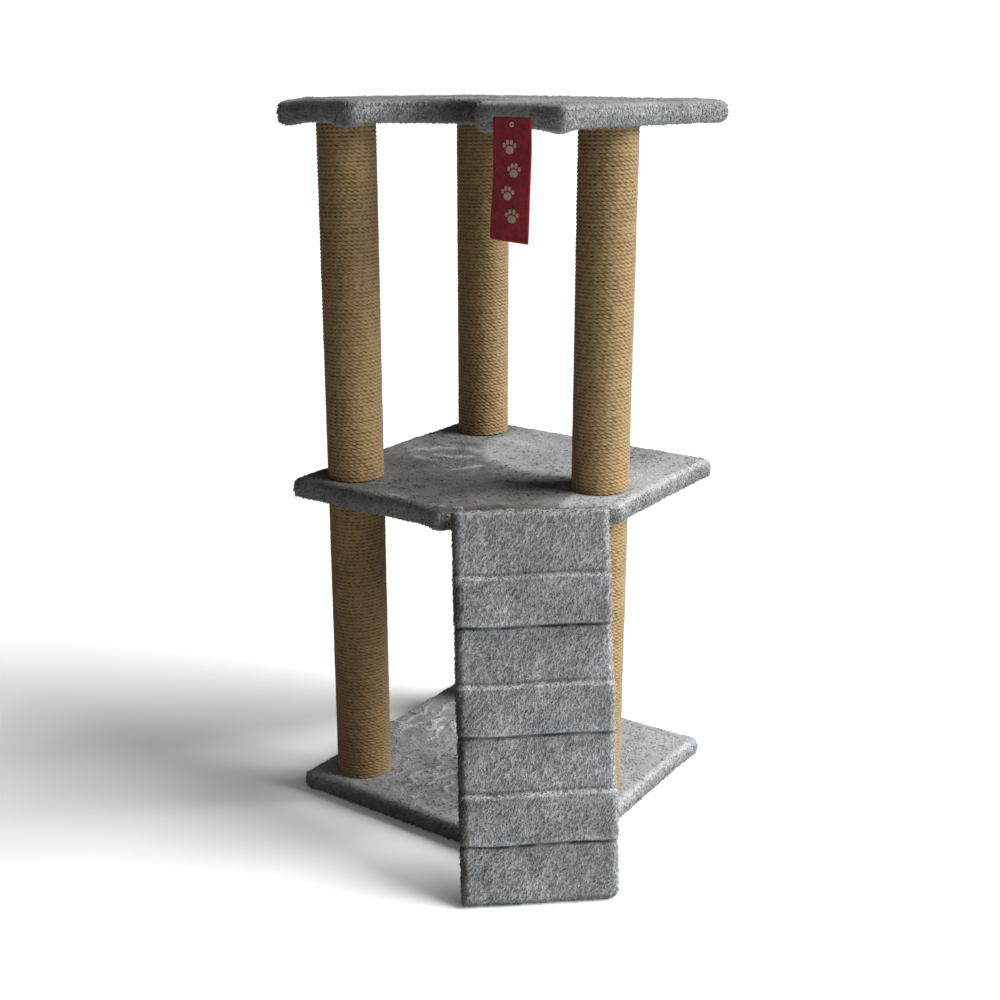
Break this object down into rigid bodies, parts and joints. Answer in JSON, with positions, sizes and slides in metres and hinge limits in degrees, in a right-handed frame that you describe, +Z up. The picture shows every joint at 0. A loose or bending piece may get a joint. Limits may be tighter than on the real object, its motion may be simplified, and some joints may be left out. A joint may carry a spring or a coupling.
{
  "type": "cat tree",
  "caption": "Cat tree: plush-covered square boards on rope-wound posts, a hinged stepped ramp to the middle board, and a climbing notch in the top board.",
  "frame": {"origin": "on the floor under the middle of the base board, at the middle of the underside lining", "axes": "+X along the boards' front-left edge towards the ramp's corner, +Y back from that edge, +Z up"},
  "size_m": [0.5994, 0.616, 1.1272],
  "materials": {
    "grey_plush": "short grey plush pile, matt with a soft sheen, nap brushed in patches",
    "chipboard": "raw chipboard",
    "lining_felt": "dark non-woven felt",
    "card_tube": "wound brown card",
    "sisal_rope": "twisted natural sisal rope, matt, hairy",
    "plug_wood": "plain sawn softwood",
    "zinc_steel": "zinc plated",
    "tag_cloth": "dark red woven label with plain pale paw prints",
    "eyelet_metal": "small pale metal eyelet"
  },
  "bodies": {
    "stand": {"base_board": "chipboard", "base_bolt_back": "zinc_steel", "base_bolt_left": "zinc_steel", "base_bolt_right": "zinc_steel", "base_lining": "lining_felt", "base_plush_cover": "grey_plush", "deck_leaf_screw_left": "zinc_steel", "deck_leaf_screw_right": "zinc_steel", "hinge_deck_leaf": "zinc_steel", "hinge_pin": "zinc_steel", "lower_back_post_bottom_plug": "plug_wood", "lower_back_post_rope": "sisal_rope", "lower_back_post_top_plug": "plug_wood", "lower_back_post_tube": "card_tube", "lower_left_post_bottom_plug": "plug_wood", "lower_left_post_rope": "sisal_rope", "lower_left_post_top_plug": "plug_wood", "lower_left_post_tube": "card_tube", "lower_right_post_bottom_plug": "plug_wood", "lower_right_post_rope": "sisal_rope", "lower_right_post_top_plug": "plug_wood", "lower_right_post_tube": "card_tube", "middle_board": "chipboard", "middle_lining": "lining_felt", "middle_plush_cover": "grey_plush", "middle_stud_back": "zinc_steel", "middle_stud_left": "zinc_steel", "middle_stud_right": "zinc_steel", "top_board": "chipboard", "top_lining": "lining_felt", "top_plush_cover": "grey_plush", "top_stud_back": "zinc_steel", "top_stud_left": "zinc_steel", "top_stud_right": "zinc_steel", "top_tee_nut_back": "zinc_steel", "top_tee_nut_left": "zinc_steel", "top_tee_nut_right": "zinc_steel", "upper_back_post_bottom_plug": "plug_wood", "upper_back_post_rope": "sisal_rope", "upper_back_post_top_plug": "plug_wood", "upper_back_post_tube": "card_tube", "upper_left_post_bottom_plug": "plug_wood", "upper_left_post_rope": "sisal_rope", "upper_left_post_top_plug": "plug_wood", "upper_left_post_tube": "card_tube", "upper_right_post_bottom_plug": "plug_wood", "upper_right_post_rope": "sisal_rope", "upper_right_post_top_plug": "plug_wood", "upper_right_post_tube": "card_tube"},
    "ramp": {"hinge_ramp_leaf": "zinc_steel", "ramp_board": "chipboard", "ramp_leaf_screw_left": "zinc_steel", "ramp_leaf_screw_right": "zinc_steel", "ramp_plush_cover": "grey_plush", "ramp_step_1": "plug_wood", "ramp_step_2": "plug_wood", "ramp_step_3": "plug_wood"},
    "tag": {"tag": "tag_cloth", "tag_eyelet": "eyelet_metal"}
  },
  "joints": [
    {"name": "ramp_hinge", "type": "hinge", "parent": "stand", "child": "ramp", "pos_m": [0.14362, -0.15568, 0.543], "axis": [-0.766, -0.6428, 0], "range_deg": [0, 75]},
    {"name": "tag_swing", "type": "hinge", "parent": "stand", "child": "tag", "pos_m": [0.1675, -0.2411, 1.1082], "axis": [-1, 0, 0], "range_deg": [0, 75]}
  ]
}
